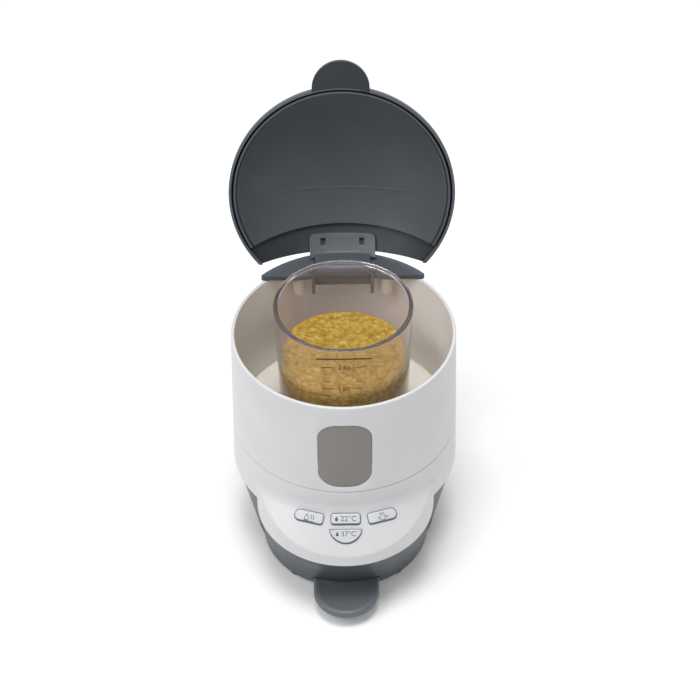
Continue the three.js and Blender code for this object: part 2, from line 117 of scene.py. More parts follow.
# ---- materials ----
def linear(red, green, blue):
    """An sRGB colour, 0 to 255, as linear RGBA."""
    def channel(value):
        value /= 255
        return value / 12.92 if value <= 0.04045 else ((value + 0.055) / 1.055) ** 2.4

    return channel(red), channel(green), channel(blue), 1.0


class Nodes:
    """A material's node tree, with short calls for the nodes used here."""

    def __init__(self, name):
        self.material = bpy.data.materials.new(name)
        self.material.use_nodes = True
        self.tree = self.material.node_tree
        self.shader = self.tree.nodes["Principled BSDF"]
        self.place = self.tree.nodes.new("ShaderNodeTexCoord").outputs["Object"]

    def link(self, source, target):
        self.tree.links.new(source, target)

    def texture(self, kind, per_metre, stretch=(1, 1, 1)):
        """A solid texture with so many repeats to the metre."""
        mapping = self.tree.nodes.new("ShaderNodeMapping")
        mapping.inputs["Scale"].default_value = [per_metre * s for s in stretch]
        self.link(self.place, mapping.inputs["Vector"])
        node = self.tree.nodes.new(kind)
        node.inputs["Scale"].default_value = 1.0
        self.link(mapping.outputs["Vector"], node.inputs["Vector"])
        return node

    def noise(self, per_metre, detail=3.0, rough=0.5, stretch=(1, 1, 1)):
        node = self.texture("ShaderNodeTexNoise", per_metre, stretch)
        node.inputs["Detail"].default_value = detail
        node.inputs["Roughness"].default_value = rough
        return node.outputs["Fac"]

    def cells(self, per_metre):
        return self.texture("ShaderNodeTexVoronoi", per_metre).outputs["Distance"]

    def ramp(self, source, *stops):
        """Colours or greys at places from 0 to 1 along the source."""
        ramp = self.tree.nodes.new("ShaderNodeValToRGB")
        elements = ramp.color_ramp.elements
        while len(elements) < len(stops):
            elements.new(0.5)
        for element, (at, colour) in zip(elements, stops):
            element.position = at
            element.color = colour
        self.link(source, ramp.inputs["Fac"])
        return ramp.outputs["Color"]

    def span(self, source, low, high, start=0.3, end=0.7):
        """The source's range start to end, stretched over low to high."""
        node = self.tree.nodes.new("ShaderNodeMapRange")
        for key, value in (("From Min", start), ("From Max", end), ("To Min", low), ("To Max", high)):
            node.inputs[key].default_value = value
        self.link(source, node.inputs["Value"])
        return node.outputs["Result"]

    def bump(self, source, depth_mm, strength=1.0, under=None):
        node = self.tree.nodes.new("ShaderNodeBump")
        node.inputs["Distance"].default_value = depth_mm * MM
        node.inputs["Strength"].default_value = strength
        self.link(source, node.inputs["Height"])
        if under is not None:
            self.link(under, node.inputs["Normal"])
        return node.outputs["Normal"]

    def set(self, **values):
        for key, value in values.items():
            self.shader.inputs[key.replace("_", " ")].default_value = value


def shade_of(colour, factor):
    return tuple(min(1.0, c * factor) for c in colour[:3]) + (1.0,)


def plastic(name, colour, rough, grain_mm=0.0, grain_depth=0.0, mottle=0.03, bleed=0.0):
    """Moulded plastic: faint mottling, uneven gloss, a fine moulded grain and slow waviness."""
    colour = linear(*colour)
    n = Nodes(name)
    cloud = n.noise(34, detail=4)
    tint = n.ramp(cloud, (0.3, shade_of(colour, 1 - mottle)), (0.7, shade_of(colour, 1 + mottle)))
    n.link(tint, n.shader.inputs["Base Color"])
    smear = n.noise(95, detail=5, rough=0.6)
    n.link(n.span(smear, rough * 0.88, min(1.0, rough * 1.14)), n.shader.inputs["Roughness"])
    normal = n.bump(n.noise(45, detail=1), 0.05, 0.5)
    if grain_depth:
        normal = n.bump(n.noise(1000 / grain_mm, detail=2), grain_depth, 0.7, normal)
    n.link(normal, n.shader.inputs["Normal"])
    n.set(IOR=1.5)
    if bleed:
        n.set(Subsurface_Weight=bleed, Subsurface_Scale=0.004, Subsurface_Radius=(1.0, 0.8, 0.6))
    return n.material


def steel(name, colour, rough, turned_rings=False):
    """Metal with fine lines: rings about the chamber axis, or plain brushing."""
    colour = linear(*colour)
    n = Nodes(name)
    if turned_rings:
        wave = n.tree.nodes.new("ShaderNodeTexWave")
        wave.wave_type = "RINGS"
        wave.rings_direction = "Z"
        wave.inputs["Scale"].default_value = 260
        wave.inputs["Distortion"].default_value = 1.5
        shift = n.tree.nodes.new("ShaderNodeMapping")
        shift.inputs["Location"].default_value = [-c for c in AXIS]
        n.link(n.place, shift.inputs["Vector"])
        n.link(shift.outputs["Vector"], wave.inputs["Vector"])
        lines = wave.outputs["Fac"]
    else:
        lines = n.noise(900, detail=2, stretch=(1, 0.03, 1))
    tint = n.ramp(n.noise(60), (0.3, shade_of(colour, 0.92)), (0.7, shade_of(colour, 1.05)))
    n.link(tint, n.shader.inputs["Base Color"])
    n.link(n.span(lines, rough * 0.8, rough * 1.3), n.shader.inputs["Roughness"])
    n.link(n.bump(lines, 0.01, 0.6), n.shader.inputs["Normal"])
    n.set(Metallic=1.0)
    return n.material


def clear(name, colour, rough, ior, transmission):
    """Clear moulded plastic with hairline scratches and a slightly uneven surface."""
    colour = linear(*colour)
    n = Nodes(name)
    scratches = n.noise(420, detail=3)
    tint = n.ramp(n.noise(40), (0.3, shade_of(colour, 0.985)), (0.7, colour))
    n.link(tint, n.shader.inputs["Base Color"])
    n.link(n.span(scratches, rough * 0.8, rough * 1.5), n.shader.inputs["Roughness"])
    n.link(n.bump(scratches, 0.003, 0.5), n.shader.inputs["Normal"])
    n.set(Transmission_Weight=transmission, IOR=ior)
    return n.material


def mashed_food():
    """Mashed vegetables: pale lumps in a darker, wet sauce."""
    n = Nodes("puree")
    lumps = n.cells(360)
    fibres = n.noise(420, detail=8, rough=0.7)
    mixed = n.tree.nodes.new("ShaderNodeMath")
    mixed.operation = "MULTIPLY_ADD"
    n.link(fibres, mixed.inputs[0])
    mixed.inputs[1].default_value = 1.0
    n.link(n.span(lumps, 0.0, 0.4, 0.0, 0.9), mixed.inputs[2])
    height = mixed.outputs["Value"]
    tint = n.ramp(
        height,
        (0.40, linear(206, 182, 112)),
        (0.58, linear(190, 160, 78)),
        (0.75, linear(172, 139, 54)),
        (0.95, linear(148, 111, 34)),
    )
    n.link(tint, n.shader.inputs["Base Color"])
    n.link(n.span(n.noise(260, detail=4), 0.2, 0.5), n.shader.inputs["Roughness"])
    n.link(n.bump(height, 0.9, 0.8), n.shader.inputs["Normal"])
    n.set(IOR=1.38, Subsurface_Weight=0.12, Subsurface_Scale=0.003, Subsurface_Radius=(1.0, 0.6, 0.15))
    return n.material


# each plastic: name, colour, roughness, grain size and grain depth in mm
WHITE = plastic("white_plastic", (208, 208, 210), 0.36, 0.5, 0.006, bleed=0.06)
# the chamber's inner faces and floor ring: a warmer, brighter copy of the white plastic, painted light
# standing in for the light bounced round inside the chamber
CHAMBER_INSIDE_PAINTED_LIGHT = plastic("chamber_inside_painted_light", (242, 238, 230), 0.4, 0.6, 0.01)
CREAM = plastic("cream_plastic", (222, 214, 196), 0.42, 0.6, 0.01, bleed=0.08)
SLATE = plastic("slate_plastic", (80, 86, 92), 0.4, 0.45, 0.018, mottle=0.04)
SLATE_INNER = plastic("slate_inner", (71, 77, 83), 0.46, 0.45, 0.02, mottle=0.05)
# a darker copy of the slate for the lid shell's inner faces: painted shade for the gap behind the liner
SLATE_PAINTED_SHADE = plastic("slate_painted_shade", (38, 43, 49), 0.5, 0.45, 0.02, mottle=0.05)
BASE_SLATE = plastic("base_slate", (64, 70, 74), 0.42, 0.4, 0.02, mottle=0.04)
TRAY_SLATE = plastic("tray_slate", (98, 103, 108), 0.42, 0.45, 0.018, mottle=0.04)
BRACKET = plastic("bracket_plastic", (80, 86, 92), 0.4, 0.5, 0.012)
KEYCAP = plastic("key_plastic", (202, 206, 210), 0.36, 0.35, 0.01, bleed=0.05)
# a darker grey for the keys' sides, the same plastic as their tops: painted shade along their lower edges
KEY_SIDE_PAINTED_SHADE = plastic("key_side_painted_shade", (120, 126, 133), 0.45, 0.35, 0.01)
INK = plastic("grey_ink", (84, 91, 99), 0.6, 0.2, 0.004, mottle=0.12)
CUP_INK = plastic("cup_ink", (66, 54, 46), 0.6, 0.2, 0.004, mottle=0.15)
BLACK = plastic("black_plastic", (34, 35, 38), 0.45, 0.4, 0.02, mottle=0.1)
RUBBER = plastic("black_rubber", (30, 30, 31), 0.82, 0.3, 0.03, mottle=0.15)
SILICONE = plastic("red_silicone", (176, 74, 50), 0.6, 0.3, 0.01, mottle=0.08)
BOARD = plastic("board_green", (44, 92, 60), 0.5, 0.8, 0.03, mottle=0.25)
SLEEVE = plastic("blue_sleeve", (46, 78, 116), 0.35, 0.5, 0.01, mottle=0.1)
STEEL = steel("steel", (196, 198, 200), 0.26)
PLATE = steel("heating_plate", (190, 190, 188), 0.3, turned_rings=True)
HEATER = steel("heater_metal", (146, 143, 138), 0.5)
CLEAR = clear("clear_plastic", (242, 236, 243), 0.04, 1.36, transmission=0.96)
SMOKED = clear("smoked_window", (158, 154, 150), 0.35, 1.45, transmission=0.45)
PUREE = mashed_food()


def put_in_scene(obj):
    bpy.context.scene.collection.objects.link(obj)


# ---- mesh helpers ----
def place(points):
    return np.asarray(points, float) * MM + AXIS


def lid_place(points):
    """Points of the shut lid, z from its edge, swung open about the hinge."""
    p = np.asarray(points, float)
    y = p[:, 1] - HINGE_Y
    z = p[:, 2] + LID_Z - HINGE_Z
    c, s = math.cos(OPEN_ANGLE), math.sin(OPEN_ANGLE)
    return place(np.stack([p[:, 0], HINGE_Y + y * c + z * s, HINGE_Z - y * s + z * c], 1))


def outward(mesh):
    bm = bmesh.new()
    bm.from_mesh(mesh)
    bmesh.ops.remove_doubles(bm, verts=bm.verts, dist=2e-6)
    bmesh.ops.dissolve_degenerate(bm, edges=bm.edges, dist=1e-7)
    bmesh.ops.recalc_face_normals(bm, faces=bm.faces)
    bm.to_mesh(mesh)
    bm.free()


def flat_piece(name, points, faces, mapping=place):
    mesh = bpy.data.meshes.new(name)
    mesh.from_pydata([tuple(p) for p in mapping(points)], [], [list(f) for f in faces])
    obj = bpy.data.objects.new(name, mesh)
    put_in_scene(obj)
    return obj


def piece(name, points, faces, mapping=place):
    """A closed piece, or one layer of one, with its faces turned outward."""
    obj = flat_piece(name, points, faces, mapping)
    outward(obj.data)
    return obj


def grid_faces(rows, columns, around):
    faces = []
    for r in range(rows - 1):
        for c in range(columns if around else columns - 1):
            d = (c + 1) % columns
            a, b = r * columns, (r + 1) * columns
            faces.append((a + c, a + d, b + d, b + c))
    return faces


def rounded(points, radii, steps=5, closed=False):
    """A polyline with each corner rounded: radii has one value per point."""
    pts = [np.array(p, float) for p in points]
    count = len(pts)
    result = []
    for i, p in enumerate(pts):
        ends = not closed and i in (0, count - 1)
        if ends or radii[i] == 0:
            result.append(p)
            continue
        before, after = pts[i - 1] - p, pts[(i + 1) % count] - p
        lb, la = np.linalg.norm(before), np.linalg.norm(after)
        u, v = before / lb, after / la
        half = math.acos(max(-1.0, min(1.0, float(np.dot(u, v))))) / 2
        reach = min(radii[i] / math.tan(half) if half > 1e-3 else lb, 0.48 * lb, 0.48 * la)
        start, end = p + u * reach, p + v * reach
        for k in range(steps + 1):
            t = k / steps
            result.append((1 - t) ** 2 * start + 2 * t * (1 - t) * p + t * t * end)
    return np.array(result)


def ring(radius, y, z, sides):
    """Points of a level circle about (0, y), from its front."""
    angles = np.arange(sides) / sides * 2 * math.pi
    return np.stack([radius * np.sin(angles), y - radius * np.cos(angles), np.full(sides, z)], 1)


def lathe(name, profile, segments=160, y=0.0, mapping=place):
    """A profile of (radius, z) turned about the vertical through (0, y)."""
    profile = np.asarray(profile, float)
    points = np.concatenate([ring(r, y, z, segments) for r, z in profile])
    faces = grid_faces(len(profile), segments, True)
    if profile[0][0] > 1e-6 or profile[-1][0] > 1e-6:
        last = (len(profile) - 1) * segments
        for c in range(segments):
            d = (c + 1) % segments
            faces.append((last + c, last + d, d, c))
    return piece(name, points, faces, mapping)


def arc(cx, cy, radius, start, end, steps=24):
    """Points of an arc, angles in degrees."""
    angles = np.radians(np.linspace(start, end, steps + 1))
    return np.stack([cx + radius * np.cos(angles), cy + radius * np.sin(angles)], 1)


def rounded_rectangle(width, height, corner, steps=10):
    x, y = width / 2 - corner, height / 2 - corner
    corners = [(x, y, 0), (-x, y, 90), (-x, -y, 180), (x, -y, 270)]
    return np.concatenate([arc(cx, cy, corner, a, a + 90, steps) for cx, cy, a in corners])


def outline_normals(outline):
    """Outward normals of a closed outline that runs anticlockwise."""
    tangent = np.roll(outline, -1, 0) - np.roll(outline, 1, 0)
    normal = np.stack([tangent[:, 1], -tangent[:, 0]], 1)
    return normal / np.linalg.norm(normal, axis=1)[:, None]


def prism(name, outline, low, high, to_solid=lambda uvn: uvn, mapping=place):
    """An outline in (u, v), pulled from low to high along n."""
    outline = np.asarray(outline, float)
    n = len(outline)
    lower = np.column_stack([outline, np.full(n, low)])
    upper = np.column_stack([outline, np.full(n, high)])
    faces = [list(range(n))[::-1], list(range(n, 2 * n))]
    faces += [(i, (i + 1) % n, n + (i + 1) % n, n + i) for i in range(n)]
    return piece(name, to_solid(np.concatenate([lower, upper])), faces, mapping)


def block(name, x0, x1, y0, y1, z0, z1, mapping=place):
    return prism(name, [(x0, y0), (x1, y0), (x1, y1), (x0, y1)], z0, z1, mapping=mapping)


def standing(uvn):
    """(u, v, n) with u along X, v along Z and n towards -Y."""
    return np.stack([uvn[:, 0], -uvn[:, 2], uvn[:, 1]], 1)


def across(uvn):
    """(u, v, n) with u along Y, v along Z and n along X."""
    return np.stack([uvn[:, 2], uvn[:, 0], uvn[:, 1]], 1)


def cross_disc(name, radius, x0, x1, y, z, mapping=place, steps=48):
    return prism(name, arc(y, z, radius, 0, 360, steps)[:-1], x0, x1, across, mapping)


def apply_modifiers(obj):
    evaluated = obj.evaluated_get(bpy.context.evaluated_depsgraph_get())
    mesh = bpy.data.meshes.new_from_object(evaluated)
    obj.modifiers.clear()
    obj.data = mesh
    return obj


def combine(obj, others, operation):
    for other in others:
        step = obj.modifiers.new("boolean", "BOOLEAN")
        step.solver = "EXACT"
        step.operation = operation
        step.object = other
        apply_modifiers(obj)
        bpy.data.objects.remove(other)
    outward(obj.data)
    return obj


def cut(obj, *others):
    return combine(obj, others, "DIFFERENCE")


def union(obj, *others):
    return combine(obj, others, "UNION")


def common(obj, *others):
    return combine(obj, others, "INTERSECT")


def soften(obj, width_mm, angle=32, segments=3):
    """Rounds every edge sharper than the angle."""
    if "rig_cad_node" not in obj:
        smooth(obj, angle)
    bevel = obj.modifiers.new("soft edges", "BEVEL")
    bevel.width = width_mm * MM
    bevel.segments = segments
    bevel.limit_method = "ANGLE"
    bevel.angle_limit = math.radians(angle)
    bevel.use_clamp_overlap = True
    shading = obj.modifiers.new("even shading", "WEIGHTED_NORMAL")
    shading.keep_sharp = True
    return obj


def smooth(obj, angle=35):
    for polygon in obj.data.polygons:
        polygon.use_smooth = True
    obj.data.set_sharp_from_angle(angle=math.radians(angle))
    return obj


def finish(obj, material, body, *nodes, slot=None, angle=35):
    """Shades a piece, gives it its material and body, and hides the CAD nodes it stands for. The slot is not
    used.
    """
    if obj.modifiers:
        apply_modifiers(obj)
    smooth(obj, angle)
    if not obj.data.materials:
        obj.data.materials.append(material)
    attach(obj, body)
    if nodes:
        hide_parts(*nodes)
    return obj


def second_material(obj, first, second, test):
    """Two materials on one piece: test(centre in mm, normal) picks the second."""
    obj.data.materials.clear()
    obj.data.materials.append(first)
    obj.data.materials.append(second)
    for polygon in obj.data.polygons:
        centre = (np.array(polygon.center) - AXIS) / MM
        polygon.material_index = int(test(centre, polygon.normal))


# ---- chamber shell and window ----
def wall_radius(z):
    return RIM_R + (RIM_Z - z) * DRAFT


def window_prism(name, margin):
    outline = rounded_rectangle(
        WINDOW["width"] + 2 * margin,
        WINDOW["high"] - WINDOW["low"] + 2 * margin,
        WINDOW["corner"] + margin,
        14,
    )
    outline[:, 1] += (WINDOW["high"] + WINDOW["low"]) / 2
    return prism(name, outline, 40, 80, standing)


def chamber_shell():
    seam = SEAM_Z + 0.25
    inner_r = wall_radius(SEAM_Z) - WALL - FIT
    low = FLOOR_Z + FIT
    profile = rounded(
        [(inner_r, low), (inner_r, seam), (wall_radius(seam), seam),
         (RIM_R, RIM_Z), (BORE_R, RIM_Z), (BORE_R + 0.4, low)],
        [0, 0, 0.35, 0.85, 0.7, 0],
        closed=True,
    )
    shell = cut(lathe("chamber_shell_wall", profile, FINE_SIDES), window_prism("cutter", 0))
    soften(shell, 0.4, 45, 2)
    apply_modifiers(shell)

    # inner faces below the rim get the brighter, warmer chamber plastic: painted light
    def facing_in(centre, normal):
        return centre[2] < RIM_Z - 0.9 and normal.x * centre[0] + normal.y * centre[1] < 0

    second_material(shell, WHITE, CHAMBER_INSIDE_PAINTED_LIGHT, facing_in)
    return finish(shell, WHITE, "warmer", "chamber_shell", slot="white_plastic", angle=40)


def window_lens():
    low, high = WINDOW["low"] - 5, WINDOW["high"] + 5
    layer = lathe(
        "window_pane",
        [(BORE_R + 0.6, low), (wall_radius(low) - 0.25, low),
         (wall_radius(high) - 0.25, high), (BORE_R + 0.3, high)],
        FINE_SIDES,
    )
    pane = common(layer, window_prism("cutter", -0.25))
    soften(pane, 0.3, 45, 2)
    return finish(pane, SMOKED, "warmer", "window_lens", slot="smoked_window")


chamber_shell()
window_lens()


# ---- fascia with the control lip ----
def lip_reach(angle):
    """How far the lip's drum reaches from the chamber axis, at an angle from the front."""
    return -LIP_Y * math.cos(angle) + math.sqrt(max(LIP_R ** 2 - (LIP_Y * math.sin(angle)) ** 2, 0))


def angle_of_reach(reach):
    return math.acos((reach ** 2 + LIP_Y ** 2 - LIP_R ** 2) / (2 * reach * -LIP_Y))


def resample(points, count):
    steps = np.concatenate([[0], np.cumsum(np.linalg.norm(np.diff(points, axis=0), axis=1))])
    targets = np.linspace(0, steps[-1], count)
    return np.stack([np.interp(targets, steps, points[:, k]) for k in (0, 1)], 1)


def fascia_section(reach, depth=0.0, count=54):
    """The face from the seam down to the skirt's level, `depth` inside the outer one."""
    top = SEAM_Z - 0.1
    crease = wall_radius(CREASE_Z) - depth
    crease_z = CREASE_Z - depth / math.cos(SLOPE) + depth * math.tan(SLOPE)
    ledge = 0.3 if depth == 0 else 0.0
    upper = wall_radius(top) - depth
    corners = [(upper - ledge, top), (upper, top - max(ledge, 0.1)), (crease, crease_z)]
    reach -= depth
    if reach <= crease + 0.02:
        return resample(np.array(corners + [(wall_radius(SKIRT_Z) - depth, SKIRT_Z)]), count)
    corner_z = crease_z - (reach - crease) * math.tan(SLOPE)
    corners += [(reach, corner_z), (reach, min(SKIRT_Z, corner_z - 0.5))]
    run = (reach - crease) / math.cos(SLOPE)
    line = rounded(corners, [0, 0, min(9.0, run), min(4.2, 0.8 * run), 0], steps=14)
    return resample(line, count)


def skirt_edge(reach, low, inner_top):
    """A wall's lower edge: out, round, under and up the inside."""
    line = [(reach, low + 2), (reach, low), (reach - WALL, low), (reach - WALL, inner_top)]
    return rounded(line, [0, 0.8, 0.6, 0], steps=4)


def cone_height(x, y, lift):
    """Height of the lip's sloping face, raised by lift along its normal."""
    return CREASE_Z + lift / math.cos(SLOPE) - (np.hypot(x, y) - wall_radius(CREASE_Z)) * math.tan(SLOPE)


KEYS = {
    "key_bottle": {"x": -19.6, "down": 3.0, "turn": -14.0, "round": -1},
    "key_22": {"x": 0.0, "down": 4.6, "turn": 0.0, "round": 0},
    "key_steam": {"x": 19.6, "down": 3.0, "turn": 14.0, "round": 1},
    "key_37": {"x": 0.0, "down": 13.9, "turn": 0.0, "round": 2},
}
KEY = {"width": 15.6, "depth": 5.9, "corner": 1.4, "proud": 1.5, "skirt": 3.4}
MOON = {"half": 8.6, "depth": 7.4}


def key_outline(key, margin):
    if key["round"] == 2:
        half, depth = MOON["half"] + margin, MOON["depth"] + 2 * margin
        radius = (half ** 2 + depth ** 2) / (2 * depth)
        span = math.degrees(math.asin(half / radius))
        bow = arc(0, radius - depth / 2, radius, -90 - span, -90 + span, 40)
        ends = rounded([bow[-2], bow[-1], bow[0], bow[1]], [0, 1.0, 1.0, 0], 6)
        outline = np.concatenate([bow[1:-1], ends[1:-1]])
    else:
        x, y = KEY["width"] / 2 + margin, KEY["depth"] / 2 + margin
        corner = KEY["corner"] + margin
        right = y if key["round"] > 0 else corner
        left = y if key["round"] < 0 else corner
        outline = np.concatenate([
            arc(x - right, y - right, right, 0, 90, 12),
            arc(left - x, y - left, left, 90, 180, 12),
            arc(left - x, left - y, left, 180, 270, 12),
            arc(x - right, right - y, right, 270, 360, 12),
        ])
    return on_key(key, dense(outline, 0.8))


def dense(outline, step):
    """A closed outline with points added so that no side is longer than the step."""
    points = []
    for start, end in zip(outline, np.roll(outline, -1, 0)):
        count = max(1, math.ceil(np.linalg.norm(end - start) / step))
        points += [start + (end - start) * k / count for k in range(count)]
    return np.array(points)


def on_key(key, points):
    """Turns points about a key's centre and moves them to it, in the key plane."""
    u, v = np.asarray(points, float).T
    turn = math.radians(key["turn"])
    c, s = math.cos(turn), math.sin(turn)
    return np.stack([u * c - v * s + key["x"], u * s + v * c - key["down"]], 1)


def from_key_plane(uvn):
    """(u, v, n) of the key plane: u along X, v up the slope, n out of it."""
    u, v, n = np.asarray(uvn, float).T
    y = -wall_radius(CREASE_Z) + v * math.cos(SLOPE) - n * math.sin(SLOPE)
    z = CREASE_Z + v * math.sin(SLOPE) + n * math.cos(SLOPE)
    return np.stack([u, y, z], 1)


def on_lip(points, lift):
    """Points (u, v) of the key plane, dropped along its normal onto the lip's face."""
    points = np.asarray(points, float)
    n = np.full(len(points), lift, float)
    for _ in range(6):
        x, y, z = from_key_plane(np.column_stack([points, n])).T
        n -= (z - cone_height(x, y, lift)) * math.cos(SLOPE)
    return n


def swept(sections, angles, rows):
    """Sections of (reach, z), each at its angle from the front, as points row by row."""
    return [
        (s[r][0] * math.sin(a), -s[r][0] * math.cos(a), s[r][1])
        for r in rows for a, s in zip(angles, sections)
    ]


def front_fascia():
    edge = angle_of_reach(wall_radius(CREASE_Z) + 0.02)
    tuck = angle_of_reach(57.5)
    front = np.linspace(-edge, edge, 181)
    rest = np.linspace(edge, 2 * math.pi - edge, 121)[1:-1]
    angles = np.concatenate([front, rest])
    reaches = [lip_reach(a) if i < len(front) else 0.0 for i, a in enumerate(angles)]
    sections = [np.concatenate([fascia_section(r), fascia_section(r, WALL, 30)[::-1]]) for r in reaches]
    rows = len(sections[0])
    points = swept(sections, angles, list(range(rows)) + [0])
    fascia = piece("front_fascia_skin", points, grid_faces(rows + 1, len(angles), True))
    holes = [
        prism("hole_" + name, key_outline(key, FIT), -8, 8, from_key_plane)
        for name, key in KEYS.items()
    ]
    finish(cut(fascia, *holes), WHITE, "warmer", "front_fascia", slot="white_plastic", angle=50)

    # the lip's own wall down to its lower edge, tucked in behind the base
    wall_angles = np.concatenate([np.linspace(-tuck, -edge, 9)[:-1], front, np.linspace(edge, tuck, 9)[1:]])
    edges = []
    for a in wall_angles:
        reach = lip_reach(a)
        top = fascia_section(reach)[-1][1]
        inner_top = min(SKIRT_Z, top) - 1.5
        edges.append(np.concatenate([[(reach, min(SKIRT_Z, top))], skirt_edge(reach, LIP_LOW, inner_top)]))
    points = swept(edges, wall_angles, range(len(edges[0])))
    wall = piece("front_fascia_lip_wall", points, grid_faces(len(edges[0]), len(wall_angles), False))
    return finish(wall, WHITE, "warmer", slot="white_plastic", angle=50)


def key_cap(name, key):
    """A cap whose top follows the lip's slope, with a rounded edge."""
    outline = key_outline(key, 0)
    centre = outline.mean(0)
    outline = outline[np.linalg.norm(outline - np.roll(outline, 1, 0), axis=1) > 1e-6]
    count = len(outline)
    normal = outline_normals(outline)
    edge = 0.6 if key["round"] == 2 else 0.9
    points, rings = [], 0
    surface = on_lip(outline, KEY["proud"])
    for inset, drop in [(0, KEY["proud"] + KEY["skirt"]), (0, edge)] + [
        (edge * (1 - math.cos(a)), edge * (1 - math.sin(a))) for a in np.radians(np.linspace(18, 90, 5))
    ]:
        ring = outline - normal * inset
        height = surface if inset == 0 else on_lip(ring, KEY["proud"])
        points.append(np.column_stack([ring, height - drop]))
        rings += 1
    inner = outline - normal * edge
    for k in range(1, 7):
        shrink = 1 - k / 6
        ring = centre + (inner - centre) * shrink
        points.append(np.column_stack([ring, on_lip(ring, KEY["proud"])]))
        rings += 1
    faces = grid_faces(rings, count, True)
    faces.append(list(range(count))[::-1])
    cap = piece(name + "_cap", from_key_plane(np.concatenate(points)), faces)
    slope_normal = Vector((0, -math.sin(SLOPE), math.cos(SLOPE)))
    down_slope = Vector((0, -math.cos(SLOPE), -math.sin(SLOPE)))

    # the cap's sides, and most of all its lower faces, get the darker grey: painted shade
    def on_side(centre, normal):
        return normal.dot(slope_normal) < 0.35 or normal.dot(down_slope) > 0.3

    second_material(cap, KEYCAP, KEY_SIDE_PAINTED_SHADE, on_side)
    return finish(cap, KEYCAP, BODY_OF[name], name, slot="key_plastic", angle=60)


BODY_OF = {
    node: body
    for body, nodes in frame["record"]["behaviour"]["bodies"].items()
    for node in nodes
}


def ribbon(line, width):
    """A stroke along a polyline as (points, faces)."""
    line = np.asarray(line, float)
    step = np.gradient(line, axis=0)
    step /= np.linalg.norm(step, axis=1)[:, None]
    side = np.stack([-step[:, 1], step[:, 0]], 1) * width / 2
    points = np.concatenate([line + side, line - side])
    n = len(line)
    return points, [(i, i + 1, n + i + 1, n + i) for i in range(n - 1)]


def lettering(text, size):
    """Filled letters, centred on the origin, as (points, faces)."""
    curve = bpy.data.curves.new("lettering", "FONT")
    curve.body = text
    curve.size = size
    curve.align_x = "CENTER"
    curve.align_y = "CENTER"
    curve.resolution_u = 3
    obj = bpy.data.objects.new("lettering", curve)
    put_in_scene(obj)
    bpy.context.view_layer.update()
    mesh = bpy.data.meshes.new_from_object(obj.evaluated_get(bpy.context.evaluated_depsgraph_get()))
    points = np.array([v.co[:2] for v in mesh.vertices])
    faces = [tuple(p.vertices) for p in mesh.polygons]
    bpy.data.objects.remove(obj)
    return points, faces


def drop_shape(x, size):
    """A falling drop: a round bottom and a point above it."""
    round_part = arc(x, -0.15 * size, 0.34 * size, 150, 390, 16)
    points = np.concatenate([round_part, [(x, 0.55 * size)]])
    return points, [list(range(len(points)))]


def wavy(x, low, high, swing):
    z = np.linspace(low, high, 13)
    return np.stack([x + swing * np.sin((z - low) / (high - low) * 2 * math.pi), z], 1)


def bottle_symbol():
    half = [(0.9, -1.9), (0.9, -0.3), (0.35, 0.3), (0.35, 0.9)]
    body = half + [(-x, z) for x, z in half[::-1]] + half[:1]
    body = np.array(body) * 0.82 + (-0.9, 0.1)
    shapes = [ribbon(side, 0.26) for side in zip(body[:-1], body[1:])]
    shapes += [ribbon(wavy(x, -0.9, 1.0, 0.18), 0.26) for x in (1.0, 1.9)]
    shapes.append(ribbon([(-2.0, -1.75), (2.3, -1.75)], 0.26))
    return shapes


def steam_symbol():
    bowl = arc(0, -0.35, 1.4, 180, 360, 18)
    shapes = [
        ribbon(bowl, 0.26),
        ribbon([(-2.0, -0.3), (2.0, -0.3)], 0.26),
        ribbon([(1.7, -0.75), (2.5, -0.95)], 0.24),
    ]
    shapes += [ribbon(wavy(x, 0.2, 1.5, 0.15), 0.24) for x in (-0.75, 0.0, 0.75)]
    return shapes


def merge(shapes):
    points, faces = [], []
    for shape_points, shape_faces in shapes:
        offset = sum(len(p) for p in points)
        points.append(np.asarray(shape_points, float))
        faces += [[offset + i for i in face] for face in shape_faces]
    return np.concatenate(points), faces


def key_mark(name, key, shapes, shift=(0, 0), scale=1.0):
    points, faces = merge(shapes)
    flat = on_key(key, points * scale + shift)
    height = on_lip(flat, KEY["proud"]) + 0.03
    mark = flat_piece(name + "_mark", from_key_plane(np.column_stack([flat, height])), faces)
    return finish(mark, INK, BODY_OF[name], slot="key_plastic")


def temperature(text):
    points, faces = lettering(text, 4.1)
    points = points + (1.5, 0.0)
    return [(points, faces), drop_shape(-4.9, 2.6)]


front_fascia()
for key_name, key_data in KEYS.items():
    key_cap(key_name, key_data)
key_mark("key_bottle", KEYS["key_bottle"], bottle_symbol(), scale=1.3)
key_mark("key_steam", KEYS["key_steam"], steam_symbol(), scale=1.3)
key_mark("key_22", KEYS["key_22"], temperature("22°C"))
key_mark("key_37", KEYS["key_37"], temperature("37°C"), shift=(0, 1.2), scale=0.94)


# ---- base housing, feet and inlet ----
def cone_solid(name, shrink, low, high):
    top = SKIRT_Z - FIT
    high = max(high, top + 0.01)
    low_r, top_r = BASE_LOW_R - shrink, BASE_TOP_R - shrink
    profile = rounded(
        [(0, low), (low_r, low), (low_r, PLINTH_Z), (low_r + 1, PLINTH_Z + 0.6),
         (top_r, top), (top_r, high), (0, high)],
        [0, 0.8 if shrink == 0 else 0, 0.3, 0.3, 0.3, 0, 0],
    )
    return lathe(name, profile, SIDES)


